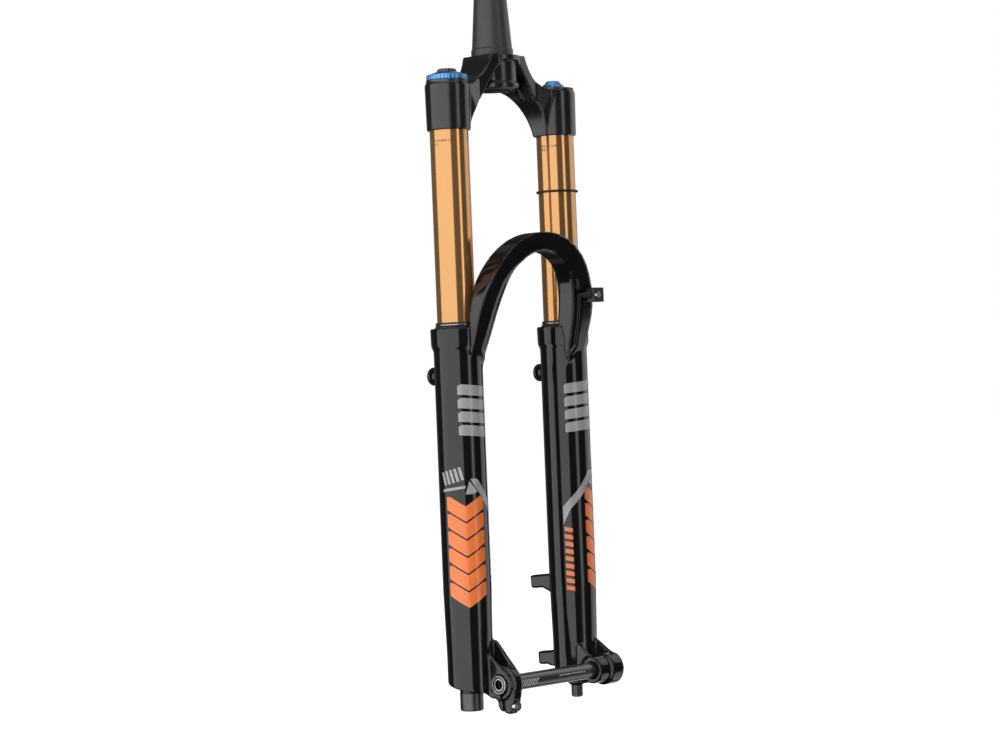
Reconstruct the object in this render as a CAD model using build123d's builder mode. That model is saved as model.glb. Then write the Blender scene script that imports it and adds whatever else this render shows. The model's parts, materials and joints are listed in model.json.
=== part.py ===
"""Single-crown mountain-bike suspension fork, built as separate pieces.

Frame: +X forwards, +Y to the rider's left, +Z up along the steerer. The origin is the centre of the
crown race seat, on the steerer axis. The damper is in the right leg and the air spring in the left.
"""
import os

from build123d import *

# ---------------------------------------------------------------- driving dimensions (mm, degrees)
TRAVEL = 170                 # the lower legs rise this far at full travel
RAKE = 44                    # axle ahead of the steerer axis
CROWN_OFFSET = 10            # leg axes ahead of the steerer axis
LEG_SPACING = 143            # between the two leg axes
AXLE_Z = -584.5
HUB_WIDTH = 110
AXLE_R = 7.5
RUNNING = 0.05               # radial clearance of a running fit

STEERER_TOP = 255
STEERER_R = 14.3
STEERER_BORE_R = 12.1
RACE_R = 19.9
RACE_HEIGHT = 6
CROWN_FIT_R = 19.6           # the steerer where it is pressed into the crown
TAPER_TOP = 72

STANCHION_R = 18.0
STANCHION_BORE_R = 16.2
STANCHION_BOTTOM = -395
CLAMP_TOP = -29.5
CLAMP_BOTTOM = -74
CLAMP_R = 21.0

SEAL_TOP = -251
COLLAR_TOP = -256
COLLAR_R = 24.9
LEG_R = 22.5
LEG_FOOT_R = 21.3
LEG_BORE_R = 19.6
LEG_FLOOR = -574
LEG_FOOT = -587.5            # underside of a leg, on its own axis
FOOT_SLOPE = 13.7            # degrees, lower at the front

SHAFT_R = 5.0
SEAL_HEAD_TOP = -372
PISTON_LOW = -346
PISTON_HIGH = -333

LEG_Y = {"right": -LEG_SPACING / 2, "left": LEG_SPACING / 2}
RIGHT = (CROWN_OFFSET, LEG_Y["right"])
LEFT = (CROWN_OFFSET, LEG_Y["left"])
BOTH = (RIGHT, LEFT)

os.makedirs("parts", exist_ok=True)


# ---------------------------------------------------------------- helpers
def write(piece, label):
    """Label a finished piece and write it as one STEP file."""
    piece.part.label = label
    export_step(piece.part, f"parts/{label}.step")


def rod(axis, low, high, r, bore=0.0, mode=Mode.ADD):
    """An upright round rod or tube on a leg axis, between two heights."""
    with BuildSketch(Plane((*axis, low))) as section:
        Circle(r)
        if bore:
            Circle(bore, mode=Mode.SUBTRACT)
    extrude(section.sketch, amount=high - low, mode=mode)


def cross_rod(x, z, y_low, y_high, r, bore=0.0, mode=Mode.ADD):
    """A round rod or tube lying across the fork, between two Y positions."""
    plane = Plane((x, y_low, z), x_dir=(1, 0, 0), z_dir=(0, 1, 0))
    with BuildSketch(plane) as section:
        Circle(r)
        if bore:
            Circle(bore, mode=Mode.SUBTRACT)
    extrude(section.sketch, amount=y_high - y_low, mode=mode)


def long_rod(y, z, x_low, x_high, r, bore=0.0, mode=Mode.ADD):
    """A round rod or tube lying fore and aft, between two X positions."""
    plane = Plane((x_low, y, z), x_dir=(0, 1, 0), z_dir=(1, 0, 0))
    with BuildSketch(plane) as section:
        Circle(r)
        if bore:
            Circle(bore, mode=Mode.SUBTRACT)
    extrude(section.sketch, amount=x_high - x_low, mode=mode)


def turned(axis, outline, mode=Mode.ADD):
    """A turned piece on a leg axis, from (radius, height) corners."""
    plane = Plane((*axis, 0), x_dir=(1, 0, 0), z_dir=(0, -1, 0))
    with BuildSketch(plane) as half:
        with BuildLine():
            Polyline(*outline, close=True)
        make_face()
    revolve(half.sketch, axis=Axis((*axis, 0), (0, 0, 1)), mode=mode)


def side_plate(outline, y_low, y_high, mode=Mode.ADD):
    """A plate lying fore and aft, from (X, Z) corners, between two Y positions."""
    plane = Plane((0, y_high, 0), x_dir=(1, 0, 0), z_dir=(0, -1, 0))
    with BuildSketch(plane) as face:
        with BuildLine():
            Polyline(*outline, close=True)
        make_face()
    extrude(face.sketch, amount=y_high - y_low, mode=mode)


def hex_socket(plane, depth, flats):
    """A hexagonal key socket cut into a piece from a plane's origin."""
    with BuildSketch(plane) as socket:
        RegularPolygon(flats / 2, 6, major_radius=False)
    extrude(socket.sketch, amount=-depth, mode=Mode.SUBTRACT)


# ---------------------------------------------------------------- steerer and crown
steerer_outline = [
    (STEERER_BORE_R, STEERER_TOP),
    (STEERER_R, STEERER_TOP),
    (STEERER_R, TAPER_TOP),
    (RACE_R - 0.9, RACE_HEIGHT + 2),
    (RACE_R, RACE_HEIGHT),
    (RACE_R, 0),
    (CROWN_FIT_R, 0),
    (CROWN_FIT_R, -32),
    (16.0, -32),
    (16.0, -5),
    (STEERER_BORE_R, TAPER_TOP),
]
with BuildPart() as steerer_tube:
    turned((0, 0), steerer_outline)
write(steerer_tube, "steerer_tube")

CROWN_BOSS_R = 23.0
CROWN_UNDERSIDE = -32        # bottom of the steerer boss
FRONT_LIP = 24               # front of the crown at its middle
SHOULDER_Y = 23              # where the level crown top ends
ARM_Y = 50                   # where the arm meets the clamp
RECESS_BACK = 5              # how far back the front hollow reaches

with BuildPart() as crown_plan:
    with BuildSketch(Plane.XY.offset(CLAMP_BOTTOM)):
        Circle(26)
        with Locations(*BOTH):
            Circle(CLAMP_R)
        with BuildLine() as plan_edge:
            Polyline((-19, 0), (-19, 16), (-8, 50), (-8, 71.5), (24, 71.5), (24, 56), (19, 38), (22, 14), (22, 0))
            mirror(about=Plane.XZ)
        make_face()
    extrude(amount=-CLAMP_BOTTOM)

with BuildPart() as crown:
    with BuildSketch(Plane.YZ.offset(-40)):
        with BuildLine():
            top = Line((0, 0), (SHOULDER_Y, 0))
            sweep_down = ThreePointArc((SHOULDER_Y, 0), (32, -16.5), (ARM_Y, CLAMP_TOP))
            Polyline((ARM_Y, CLAMP_TOP), (LEG_SPACING / 2, CLAMP_TOP), (LEG_SPACING / 2, CLAMP_BOTTOM),
                     (51, CLAMP_BOTTOM))
            ThreePointArc((51, CLAMP_BOTTOM), (43, -50), (17, CROWN_UNDERSIDE))
            Line((17, CROWN_UNDERSIDE), (0, CROWN_UNDERSIDE))
            mirror(about=Plane.YZ)
        make_face()
    extrude(amount=90)
    add(crown_plan.part, mode=Mode.INTERSECT)
    # the arms grow thinner, fore and aft, towards the bottom
    side_plate([(-30, 1), (-22, -8), (-10, -30), (0, CLAMP_BOTTOM - 1), (17, CLAMP_BOTTOM - 1), (26, -24), (26, 1)],
               -100, 100, mode=Mode.INTERSECT)
    with BuildSketch(Plane.YZ.offset(RECESS_BACK)):
        with BuildLine():
            Line((0, -5.5), (10, -5.5))
            ThreePointArc((10, -5.5), (19, -17), (36, -42))
            Polyline((36, -42), (36, -60), (0, -60))
            mirror(about=Plane.YZ)
        make_face()
    extrude(amount=40, mode=Mode.SUBTRACT)
    rod((0, 0), CROWN_UNDERSIDE, -2, CROWN_BOSS_R)
    rod((0, 0), CROWN_UNDERSIDE, CROWN_UNDERSIDE + 6, CROWN_BOSS_R + 1.8)
    for axis in BOTH:
        turned(axis, [(0, CLAMP_TOP), (CLAMP_R - 1.4, CLAMP_TOP), (CLAMP_R, CLAMP_TOP - 2),
                      (CLAMP_R - 0.5, CLAMP_BOTTOM + 1), (CLAMP_R - 1.3, CLAMP_BOTTOM), (0, CLAMP_BOTTOM)])
    rod((0, 0), CROWN_UNDERSIDE - 1, 1, CROWN_FIT_R, mode=Mode.SUBTRACT)
    for axis in BOTH:
        rod(axis, CLAMP_BOTTOM - 1, CLAMP_TOP + 1, STANCHION_R, mode=Mode.SUBTRACT)
write(crown, "crown")

# ---------------------------------------------------------------- stanchions
for side, y in LEG_Y.items():
    with BuildPart() as stanchion:
        rod((CROWN_OFFSET, y), STANCHION_BOTTOM, CLAMP_TOP, STANCHION_R, STANCHION_BORE_R)
        chamfer(stanchion.edges().group_by(Axis.Z)[0], 0.6)
    write(stanchion, f"stanchion_{side}")

# ---------------------------------------------------------------- lower casting
ARCH_DEPTH = 22
ARCH_FOOT = -318             # where the arch has run out into the legs
ARCH_ROUND = 7               # rounding of its outer front edge
ARCH_STEP = 1.8              # depth of the step along its inner front edge
ARCH_SKIN = 6                # front wall left when the back of the arch is hollowed
STANCHION_ROOM = 22.0        # radius kept clear round a stanchion above its collar
BLEED_Z = -300
BLEED_BOSS_R = 9.3
BLEED_FACE = -28.8           # boss face behind the leg axis
POST_UPPER = (-41, -503.5)   # (X, Z) of the brake posts' face centres
POST_LOWER = (-34.7, -577.4)
POST_HALF = 6.0
POST_WEB = (LEG_SPACING / 2 - 5.5, LEG_SPACING / 2 + 5.5)
PINCH_Y = -61
HOSE_SCREW_Y = 63.6
HOSE_Z = -228.6
PINCH_Z = AXLE_Z - 19.5
SLEEVE_R = 9.1
COVER_R = 10.8
COVER_TOP = -592.8

# the horseshoe of the arch seen from in front, then its lean seen from the side
with BuildPart() as arch:
    with BuildSketch(Plane.YZ.offset(-20)):
        with BuildLine():
            ThreePointArc((-66.7, -213), (0, -169.5), (66.7, -213))
            ThreePointArc((66.7, -213), (73.6, -229), (77, -250))
            Polyline((77, -250), (76, ARCH_FOOT), (60, ARCH_FOOT), (56.5, -285), (52, -250))
            ThreePointArc((52, -250), (49.3, -236), (44.5, -220.5))
            ThreePointArc((44.5, -220.5), (0, -187), (-44.5, -220.5))
            ThreePointArc((-44.5, -220.5), (-49.3, -236), (-52, -250))
            Polyline((-52, -250), (-56.5, -285), (-60, ARCH_FOOT), (-76, ARCH_FOOT), (-77, -250))
            ThreePointArc((-77, -250), (-73.6, -229), (-66.7, -213))
        make_face()
    extrude(amount=100)
    with BuildSketch(Plane.XZ.offset(-100)):
        with BuildLine():
            ThreePointArc((30, -288), (50, -228.5), (64, -160))
            Line((64, -160), (64 - ARCH_DEPTH, -160))
            ThreePointArc((64 - ARCH_DEPTH, -160), (50 - ARCH_DEPTH, -228.5), (30 - ARCH_DEPTH, -288))
            Polyline((30 - ARCH_DEPTH, -288), (0, ARCH_FOOT), (20, ARCH_FOOT), (30, -288))
        make_face()
    extrude(amount=200, mode=Mode.INTERSECT)


def on_outer_front(edge):
    """True for the arch's edges that run along its outer side at the front."""
    spot = edge @ 0.5
    box = edge.bounding_box()
    runs_along = box.size.Z > 0.01
    front = spot.X > 36 + 0.27 * (spot.Z + 228.5) if spot.Z > -288 else spot.X > 10
    outer = abs(spot.Y) > 66 if spot.Z < -222 else spot.Z > -186
    return runs_along and front and outer


fillet([edge for edge in arch.part.edges() if on_outer_front(edge)], radius=ARCH_ROUND)

# a shallow step along the inner edge of each arm's front face
with BuildPart() as arch_step:
    with BuildSketch(Plane.YZ.offset(-20)):
        with BuildLine():
            Polyline((0, -300), (67, -300), (63.5, -285), (59, -250))
            ThreePointArc((59, -250), (56, -234), (49.5, -215.5))
            ThreePointArc((49.5, -215.5), (41, -206), (30, -198))
            Line((30, -198), (0, -230))
            mirror(about=Plane.YZ)
        make_face()
    extrude(amount=120)
    with BuildSketch(Plane.XZ.offset(-100)):
        with BuildLine():
            ThreePointArc((30 - ARCH_STEP, -288), (50 - ARCH_STEP, -228.5), (64 - ARCH_STEP, -160))
            Polyline((64 - ARCH_STEP, -160), (95, -160), (95, -301), (25.5, -301), (30 - ARCH_STEP, -288))
        make_face()
    extrude(amount=200, mode=Mode.INTERSECT)
    # the step stops short of the collars and legs
    for axis in BOTH:
        rod(axis, -310, -240, COLLAR_R + 0.6, mode=Mode.SUBTRACT)

# the hollow in the back of the arch, with ribs left standing in it
with BuildPart() as arch_hollow:
    with BuildSketch(Plane.YZ.offset(-10)):
        with BuildLine():
            ThreePointArc((-61, -216), (0, -174.5), (61, -216))
            Polyline((61, -216), (66, -229), (54, -229), (48, -218))
            ThreePointArc((48, -218), (0, -183), (-48, -218))
            Polyline((-48, -218), (-54, -229), (-66, -229), (-61, -216))
        make_face()
    extrude(amount=90)
    with BuildSketch(Plane.XZ.offset(-100)):
        with BuildLine():
            ThreePointArc((30 - ARCH_SKIN, -288), (50 - ARCH_SKIN, -228.5), (64 - ARCH_SKIN, -160))
            Line((64 - ARCH_SKIN, -160), (0, -160))
            Line((0, -160), (0, -288))
            Line((0, -288), (30 - ARCH_SKIN, -288))
        make_face()
    extrude(amount=200, mode=Mode.INTERSECT)
    for rib_y in (-38, -13, 13, 38):
        with BuildSketch(Plane.XZ.offset(-rib_y)) as rib:
            with Locations((30, -200)):
                Rectangle(90, 90)
        extrude(rib.sketch, amount=1.25, both=True, mode=Mode.SUBTRACT)

leg_outline = [
    (0, COLLAR_TOP),
    (COLLAR_R - 0.8, COLLAR_TOP),
    (COLLAR_R, COLLAR_TOP - 0.8),
    (COLLAR_R - 0.4, -273),
    (LEG_R, -277.5),
    (LEG_R, -500),
    (LEG_FOOT_R, -560),
    (LEG_FOOT_R, -610),
    (0, -610),
]

with BuildPart() as lower_casting:
    for axis in BOTH:
        turned(axis, leg_outline)
        # rear channel that lets trapped air reach the bleed button
        with BuildSketch(Plane((CROWN_OFFSET - 19, axis[1], -540))) as channel:
            RectangleRounded(14, 12, 3)
        extrude(channel.sketch, amount=540 + BLEED_Z)
        long_rod(axis[1], BLEED_Z, CROWN_OFFSET + BLEED_FACE, CROWN_OFFSET, BLEED_BOSS_R)
    # level cut under both legs, lower at the front
    foot_plane = Plane((CROWN_OFFSET, 0, LEG_FOOT), x_dir=(0, 1, 0),
                       z_dir=Vector(0, 0, -1).rotate(Axis.Y, FOOT_SLOPE))
    with BuildSketch(foot_plane) as under_feet:
        Rectangle(260, 110)
    extrude(under_feet.sketch, amount=60, mode=Mode.SUBTRACT)
    # the arch and the room it leaves for the stanchions
    add(arch.part)
    add(arch_hollow.part, mode=Mode.SUBTRACT)
    add(arch_step.part, mode=Mode.SUBTRACT)
    for axis in BOTH:
        rod(axis, COLLAR_TOP, -150, STANCHION_ROOM, mode=Mode.SUBTRACT)
    # right dropout: two ribs, a floor between them, a stepped boss and a pinch lug
    side_plate([(12, -545), (31, -545), (57, -573), (44, -590), (34, -598), (12, -588)], -59, -55.5)
    side_plate([(12, -556), (31, -556), (54, -575), (44, -590), (34, -598), (12, -588)], -69.3, -66.3)
    side_plate([(12, -566), (31, -566), (46, -575), (44, -592), (34, -598), (12, -588)], -68, -57)
    cross_rod(RAKE, AXLE_Z, -69, -HUB_WIDTH / 2, 14.3)
    cross_rod(RAKE, AXLE_Z, -65, -HUB_WIDTH / 2, 17.2)
    side_plate([(RAKE - 13, AXLE_Z - 4), (RAKE - 6.5, AXLE_Z - 15), (RAKE - 4, AXLE_Z - 23.5),
                (RAKE, AXLE_Z - 25.5), (RAKE + 9, AXLE_Z - 27), (RAKE + 13, AXLE_Z - 22),
                (RAKE + 16, AXLE_Z - 10), (RAKE + 14, AXLE_Z)], -66.5, -56)
    # left dropout: inner boss, outer boss, two ribs and a floor
    side_plate([(12, -561), (30, -561), (50, -577), (44, -592), (34, -598), (12, -588)], 56.5, 60)
    side_plate([(12, -557), (31, -557), (54, -572), (44, -592), (34, -598), (12, -588)], 77.5, 81.5)
    side_plate([(12, -574), (31, -574), (44, -577), (44, -592), (34, -598), (12, -588)], 58, 80)
    cross_rod(RAKE, AXLE_Z, HUB_WIDTH / 2, 70, 12.8)
    cross_rod(RAKE, AXLE_Z, 70, 86, 15.5)
    # brake posts behind the left leg, their faces in one leaning plane
    post_lean = (Vector(POST_UPPER[0], 0, POST_UPPER[1]) - Vector(POST_LOWER[0], 0, POST_LOWER[1])).normalized()
    post_out = post_lean.cross(Vector(0, 1, 0))
    for (x, z), reach in ((POST_UPPER, 38), (POST_LOWER, 32)):
        with BuildSketch(Plane((x, LEFT[1], z), x_dir=(0, 1, 0), z_dir=post_out)) as post:
            RectangleRounded(2 * POST_HALF, 2 * POST_HALF + 1, 2.5)
        extrude(post.sketch, amount=-reach)
    side_plate([(-26, -509), (-16, -513), (-8, -528), (-8, -482), (-16, -495), (-26, -498)], *POST_WEB)
    side_plate([(-22, -572), (-13, -567), (-8, -554), (-8, -585), (-22, -584)], *POST_WEB)
    # foot bosses that the shafts are bolted against
    rod(LEFT, -597, -580, 10.5)
    rod(RIGHT, COVER_TOP + 0.2, -580, COVER_R)
    rod(RIGHT, -597, -580, COVER_R - 1.05)
    # boring: wiper pocket, foam pocket, bushing bore and floor hole of each leg
    for axis in BOTH:
        rod(axis, -266, COLLAR_TOP + 1, 22.0, mode=Mode.SUBTRACT)
        rod(axis, -275, -265, 21.2, mode=Mode.SUBTRACT)
        rod(axis, LEG_FLOOR, -274, LEG_BORE_R, mode=Mode.SUBTRACT)
        rod(axis, -600, LEG_FLOOR + 1, SHAFT_R + 0.3, mode=Mode.SUBTRACT)
        # air channel and bleed port
        with BuildSketch(Plane((CROWN_OFFSET - 21, axis[1], -530))) as air_way:
            Rectangle(6, 5)
        extrude(air_way.sketch, amount=525 + BLEED_Z, mode=Mode.SUBTRACT)
        long_rod(axis[1], BLEED_Z, CROWN_OFFSET + BLEED_FACE - 1, CROWN_OFFSET, 3.1, mode=Mode.SUBTRACT)
    # axle bores, the axle head's counterbore and the pinch slot with its bolt hole
    cross_rod(RAKE, AXLE_Z, -70, -54, SLEEVE_R + RUNNING, mode=Mode.SUBTRACT)
    cross_rod(RAKE, AXLE_Z, 54, 87, AXLE_R + RUNNING, mode=Mode.SUBTRACT)
    cross_rod(RAKE, AXLE_Z, 77, 87, 10.4, mode=Mode.SUBTRACT)
    side_plate([(RAKE + 0.2, AXLE_Z), (RAKE + 2.0, AXLE_Z), (RAKE + 2.0, AXLE_Z - 30), (RAKE + 0.2, AXLE_Z - 30)],
               -71, -54, mode=Mode.SUBTRACT)
    long_rod(PINCH_Y, PINCH_Z, RAKE - 14, RAKE + 20, 2.6, mode=Mode.SUBTRACT)
    long_rod(PINCH_Y, PINCH_Z, RAKE + 10.5, RAKE + 22, 4.9, mode=Mode.SUBTRACT)
    # tapped holes for the brake bolts
    for x, z in (POST_UPPER, POST_LOWER):
        with BuildSketch(Plane((x, LEFT[1], z), x_dir=(0, 1, 0), z_dir=post_out)) as tapped:
            Circle(2.5)
        extrude(tapped.sketch, amount=-16, mode=Mode.SUBTRACT)
    # tapped hole in the arch for the hose guide's screw
    long_rod(HOSE_SCREW_Y, HOSE_Z, 40, 60, 1.6, mode=Mode.SUBTRACT)
write(lower_casting, "lower_casting")

# ---------------------------------------------------------------- slide bearings, foam and seals
with BuildPart() as bushings_upper:
    for axis in BOTH:
        rod(axis, -292, -277, LEG_BORE_R - 0.02, STANCHION_R + RUNNING)
write(bushings_upper, "bushings_upper")

with BuildPart() as bushings_lower:
    for axis in BOTH:
        rod(axis, -388, -368, LEG_BORE_R - 0.02, STANCHION_R + RUNNING)
write(bushings_lower, "bushings_lower")

with BuildPart() as foam_rings:
    for axis in BOTH:
        rod(axis, -274.5, -266.5, 21.0, STANCHION_R + 0.3)
write(foam_rings, "foam_rings")

wiper_outline = [
    (STANCHION_R + RUNNING, SEAL_TOP),
    (19.3, SEAL_TOP),
    (19.5, SEAL_TOP - 1.2),
    (19.0, SEAL_TOP - 1.5),
    (19.0, SEAL_TOP - 3.0),
    (19.6, SEAL_TOP - 3.3),
    (20.6, COLLAR_TOP + 0.2),
    (20.6, COLLAR_TOP - 0.3),
    (21.9, COLLAR_TOP - 0.3),
    (21.9, COLLAR_TOP - 9.8),
    (18.9, COLLAR_TOP - 9.8),
    (18.9, COLLAR_TOP - 3),
    (STANCHION_R + RUNNING, COLLAR_TOP - 2),
    (STANCHION_R + RUNNING, COLLAR_TOP - 1),
    (18.9, COLLAR_TOP),
    (18.9, SEAL_TOP - 2),
    (STANCHION_R + RUNNING, SEAL_TOP - 0.8),
]
for side, axis in (("right", RIGHT), ("left", LEFT)):
    with BuildPart() as wiper_seal:
        turned(axis, wiper_outline)
    write(wiper_seal, f"wiper_seal_{side}")

GARTER_R = 0.55
with BuildPart() as garter_springs:
    for axis in BOTH:
        with BuildSketch(Plane((*axis, 0), x_dir=(1, 0, 0), z_dir=(0, -1, 0))) as wire:
            with Locations((19.0 + GARTER_R, SEAL_TOP - 2.25)):
                Circle(GARTER_R)
        revolve(wire.sketch, axis=Axis((*axis, 0), (0, 0, 1)))
write(garter_springs, "garter_springs")

with BuildPart() as travel_o_ring:
    with BuildSketch(Plane((*LEFT, 0), x_dir=(1, 0, 0), z_dir=(0, -1, 0))) as cord:
        with Locations((STANCHION_R + RUNNING + 1.1, -127)):
            Circle(1.1)
    revolve(cord.sketch, axis=Axis((*LEFT, 0), (0, 0, 1)))
write(travel_o_ring, "travel_o_ring")

# ---------------------------------------------------------------- air spring (left leg)
with BuildPart() as air_top_cap:
    rod(LEFT, CLAMP_TOP, CLAMP_TOP + 1.6, 19.6)
    rod(LEFT, CLAMP_TOP + 1.6, CLAMP_TOP + 3, 11.8)
    rod(LEFT, -48, CLAMP_TOP, STANCHION_BORE_R - 0.02)
    rod(LEFT, -49, -20, 3.6, mode=Mode.SUBTRACT)
    rod(LEFT, CLAMP_TOP + 1, CLAMP_TOP + 4, 7.2, mode=Mode.SUBTRACT)
    hex_socket(Plane((*LEFT, -48), x_dir=(1, 0, 0), z_dir=(0, 0, -1)), 6, 14)
write(air_top_cap, "air_top_cap")

with BuildPart() as air_valve:
    turned(LEFT, [(0, -47), (3.0, -47), (3.5, -44), (3.5, -24.6), (3.9, -24), (3.9, -22), (2.6, -22),
                  (2.6, -30), (0, -30)])
    rod(LEFT, -30.2, -23, 1.0)
write(air_valve, "air_valve")

CAP_TOP = -20.4
with BuildPart() as air_valve_cap:
    with BuildSketch(Plane((*LEFT, CLAMP_TOP + 3.1))) as grip:
        RegularPolygon(10.6, 8)
    extrude(grip.sketch, amount=CAP_TOP - CLAMP_TOP - 3.1)
    chamfer(air_valve_cap.faces().sort_by(Axis.Z)[-1].edges(), 1.8)
    rod(LEFT, CLAMP_TOP + 3, CAP_TOP - 1.2, 4.4, mode=Mode.SUBTRACT)
    rod(LEFT, CLAMP_TOP + 1.6, CLAMP_TOP + 3.2, 6.6, 4.4)
write(air_valve_cap, "air_valve_cap")

with BuildPart() as volume_spacers:
    for step in range(3):
        low = -59.2 - 10.6 * step
        turned(LEFT, [(5, low), (14.2, low), (14.6, low + 1), (14.6, low + 9), (12.5, low + 10), (5, low + 10)])
write(volume_spacers, "volume_spacers")

with BuildPart() as air_piston:
    turned(LEFT, [(SHAFT_R + 0.02, PISTON_LOW), (15.2, PISTON_LOW), (16.1, PISTON_LOW + 1.2),
                  (16.1, PISTON_LOW + 4), (14.0, PISTON_LOW + 4), (14.0, PISTON_LOW + 8),
                  (16.1, PISTON_LOW + 8), (16.1, PISTON_HIGH - 1), (15.2, PISTON_HIGH),
                  (SHAFT_R + 0.02, PISTON_HIGH)])
write(air_piston, "air_piston")

with BuildPart() as air_piston_seal:
    rod(LEFT, PISTON_LOW + 4.2, PISTON_LOW + 7.8, STANCHION_BORE_R - RUNNING, 14.05)
write(air_piston_seal, "air_piston_seal")

with BuildPart() as air_shaft:
    rod(LEFT, LEG_FLOOR + 0.1, PISTON_HIGH + 4, SHAFT_R)
    rod(LEFT, LEG_FLOOR + 0.1, LEG_FLOOR + 4, 9.0)
    rod(LEFT, -613, LEG_FLOOR + 0.1, 4.0)
    rod(LEFT, -560, PISTON_HIGH + 5, 3.4, mode=Mode.SUBTRACT)
    rod(LEFT, PISTON_HIGH + 0.05, PISTON_HIGH + 3, 8.0, SHAFT_R - 0.5)
write(air_shaft, "air_shaft")

with BuildPart() as air_seal_head:
    turned(LEFT, [(SHAFT_R + RUNNING, SEAL_HEAD_TOP), (15.0, SEAL_HEAD_TOP), (16.18, SEAL_HEAD_TOP - 1),
                  (16.18, -392), (SHAFT_R + RUNNING, -392)])
write(air_seal_head, "air_seal_head")

with BuildPart() as retaining_ring:
    rod(LEFT, -394, -392.2, STANCHION_BORE_R - 0.02, 13.6)
    with BuildSketch(Plane((*LEFT, -394))) as gap:
        with Locations((0, 15)):
            Rectangle(5, 6)
    extrude(gap.sketch, amount=2, mode=Mode.SUBTRACT)
write(retaining_ring, "retaining_ring")

with BuildPart() as top_out_bumper:
    turned(LEFT, [(SHAFT_R + 0.4, SEAL_HEAD_TOP + 0.1), (9.0, SEAL_HEAD_TOP + 0.1), (10.0, SEAL_HEAD_TOP + 4),
                  (8.5, SEAL_HEAD_TOP + 6), (10.0, SEAL_HEAD_TOP + 8), (8.0, SEAL_HEAD_TOP + 13),
                  (SHAFT_R + 0.4, SEAL_HEAD_TOP + 13)])
write(top_out_bumper, "top_out_bumper")

with BuildPart() as bottom_out_bumpers:
    rod(LEFT, LEG_FLOOR + 0.1, LEG_FLOOR + 6, 15.0, 9.1)
    rod(RIGHT, LEG_FLOOR + 0.1, LEG_FLOOR + 6, 15.0, 9.1)
write(bottom_out_bumpers, "bottom_out_bumpers")

with BuildPart() as air_foot_nut:
    turned(LEFT, [(4.05, -597.6), (9.3, -597.6), (9.3, -598.6), (6.0, -601.5), (5.4, -602), (5.4, -612),
                  (5.0, -612.4), (4.05, -612.4)])
write(air_foot_nut, "air_foot_nut")

with BuildPart() as crush_washers:
    rod(LEFT, -597.55, -597.05, 9.0, 4.1)
    rod(RIGHT, -597.55, -597.05, 8.5, 4.1)
write(crush_washers, "crush_washers")

# ---------------------------------------------------------------- damper (right leg)
CARTRIDGE_R = 14.6
CARTRIDGE_BORE_R = 13.4
DIAL_R = 19.1
DIAL_LOW = -27.3
DIAL_RIM = -22.4              # top of the dial's upright rim
DIAL_TOP = -19.8
NECK_R = 6.0                 # neck of the top cap that the large dial turns on
KNURLS = 36

with BuildPart() as damper_top_cap:
    rod(RIGHT, CLAMP_TOP, CLAMP_TOP + 2, 19.6)
    rod(RIGHT, -50, CLAMP_TOP, STANCHION_BORE_R - 0.02)
    rod(RIGHT, CLAMP_TOP, DIAL_TOP - 1.0, NECK_R)
    rod(RIGHT, -51, DIAL_TOP, 2.6, mode=Mode.SUBTRACT)
    for spot in PolarLocations(14, 3).locations:
        place = (RIGHT[0] + spot.position.X, RIGHT[1] + spot.position.Y)
        rod(place, CLAMP_TOP - 0.6, CLAMP_TOP + 3, 1.7, mode=Mode.SUBTRACT)
write(damper_top_cap, "damper_top_cap")

with BuildPart() as detent_balls:
    for spot in PolarLocations(14, 3).locations:
        with Locations((RIGHT[0] + spot.position.X, RIGHT[1] + spot.position.Y, CLAMP_TOP + 0.55)):
            Sphere(1.1)
write(detent_balls, "detent_balls")

with BuildPart() as hsc_dial:
    turned(RIGHT, [(NECK_R + RUNNING, DIAL_LOW), (DIAL_R - 0.6, DIAL_LOW), (DIAL_R, DIAL_LOW + 0.6),
                   (DIAL_R, DIAL_RIM - 0.4), (DIAL_R - 0.5, DIAL_RIM), (11, DIAL_TOP),
                   (NECK_R + RUNNING, DIAL_TOP)])
    for spot in PolarLocations(DIAL_R + 0.9, KNURLS).locations:
        place = (RIGHT[0] + spot.position.X, RIGHT[1] + spot.position.Y)
        rod(place, DIAL_LOW - 1, DIAL_TOP + 1, 1.25, mode=Mode.SUBTRACT)
write(hsc_dial, "hsc_dial")

with BuildPart() as lsc_dial:
    turned(RIGHT, [(0, -60), (2.5, -60), (2.5, DIAL_TOP + 0.4), (9.0, DIAL_TOP + 0.4), (9.0, DIAL_TOP + 2.2),
                   (7.6, DIAL_TOP + 3.2), (0, DIAL_TOP + 3.2)])
    hex_socket(Plane((*RIGHT, DIAL_TOP + 3.2)), 2, 3)
    for spot in PolarLocations(9.6, 16).locations:
        place = (RIGHT[0] + spot.position.X, RIGHT[1] + spot.position.Y)
        rod(place, DIAL_TOP, DIAL_TOP + 4, 1.2, mode=Mode.SUBTRACT)
write(lsc_dial, "lsc_dial")

with BuildPart() as damper_cartridge:
    rod(RIGHT, -386, -50.2, CARTRIDGE_R, CARTRIDGE_BORE_R)
write(damper_cartridge, "damper_cartridge")

VALVE_STEM_R = 4.5
VALVE_LOW = PISTON_HIGH + TRAVEL + 12
with BuildPart() as compression_valve:
    turned(RIGHT, [(2.8, -50.3), (13.3, -50.3), (13.3, -54), (VALVE_STEM_R, -56), (VALVE_STEM_R, VALVE_LOW + 14),
                   (13.3, VALVE_LOW + 13), (13.3, VALVE_LOW + 2), (12, VALVE_LOW), (2.8, VALVE_LOW)])
    for spot in PolarLocations(9, 6).locations:
        place = (RIGHT[0] + spot.position.X, RIGHT[1] + spot.position.Y)
        rod(place, VALVE_LOW - 1, VALVE_LOW + 15, 1.6, mode=Mode.SUBTRACT)
write(compression_valve, "compression_valve")

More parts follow.
